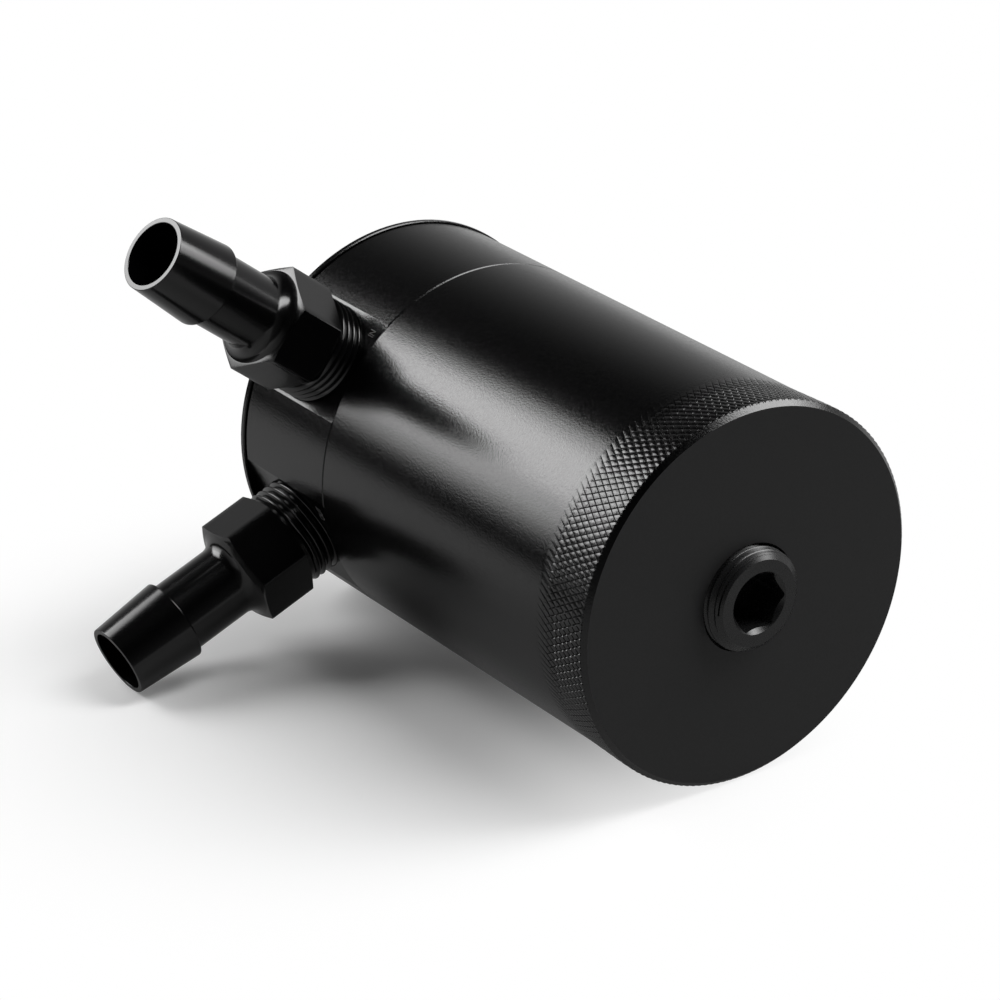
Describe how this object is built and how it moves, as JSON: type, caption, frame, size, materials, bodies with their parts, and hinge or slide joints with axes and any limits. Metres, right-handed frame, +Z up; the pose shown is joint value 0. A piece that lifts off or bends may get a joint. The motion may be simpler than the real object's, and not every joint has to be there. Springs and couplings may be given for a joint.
{
  "type": "oil catch can",
  "caption": "Black anodised oil catch can lying on its side: knurled screw-off cup, lid with angled hose barbs, baffle and filter inside, socket drain plug in the base.",
  "frame": {"origin": "middle of the can's footprint on the floor, as it lies at rest on its side", "axes": "+X along the can's axis from the lid towards the drain plug, +Z up, the hose barbs towards -Y"},
  "size_m": [0.0968, 0.0976, 0.0788],
  "materials": {
    "anodised_can": "satin black anodised",
    "anodised_fitting": "gloss black anodised",
    "black_plug": "black oxide",
    "seal_rubber": "matte rubber",
    "nipple_brass": "turned brass",
    "filter_bronze": "sintered bronze grains",
    "baffle_aluminium": "plain rolled sheet",
    "zinc_steel": "zinc plated"
  },
  "bodies": {
    "lid": {"lid": "anodised_can", "inlet_barb": "anodised_fitting", "outlet_barb": "anodised_fitting", "filter_base": "nipple_brass", "filter_element": "filter_bronze", "baffle_plate": "baffle_aluminium", "standoff_1": "zinc_steel", "standoff_2": "zinc_steel", "standoff_3": "zinc_steel", "baffle_screws": "zinc_steel"},
    "seal": {"seal_ring": "seal_rubber"},
    "cup": {"cup": "anodised_can"},
    "plug": {"drain_plug": "black_plug"}
  },
  "joints": [
    {"name": "cup_travel", "type": "slide", "parent": "lid", "child": "seal", "axis": [1, 0, 0], "range_m": [0, 0.009]},
    {"name": "cup_turn", "type": "hinge", "parent": "seal", "child": "cup", "pos_m": [-0.0242, 0.01735, 0.0315], "axis": [1, 0, 0], "range_deg": [0, 2160]},
    {"name": "plug_draw", "type": "slide", "parent": "cup", "child": "plug", "axis": [1, 0, 0], "range_m": [0, 0.02]}
  ],
  "couplings": [
    {"joint": "cup_travel", "follows": "cup_turn", "m_per_rad": 0.00023873}
  ]
}
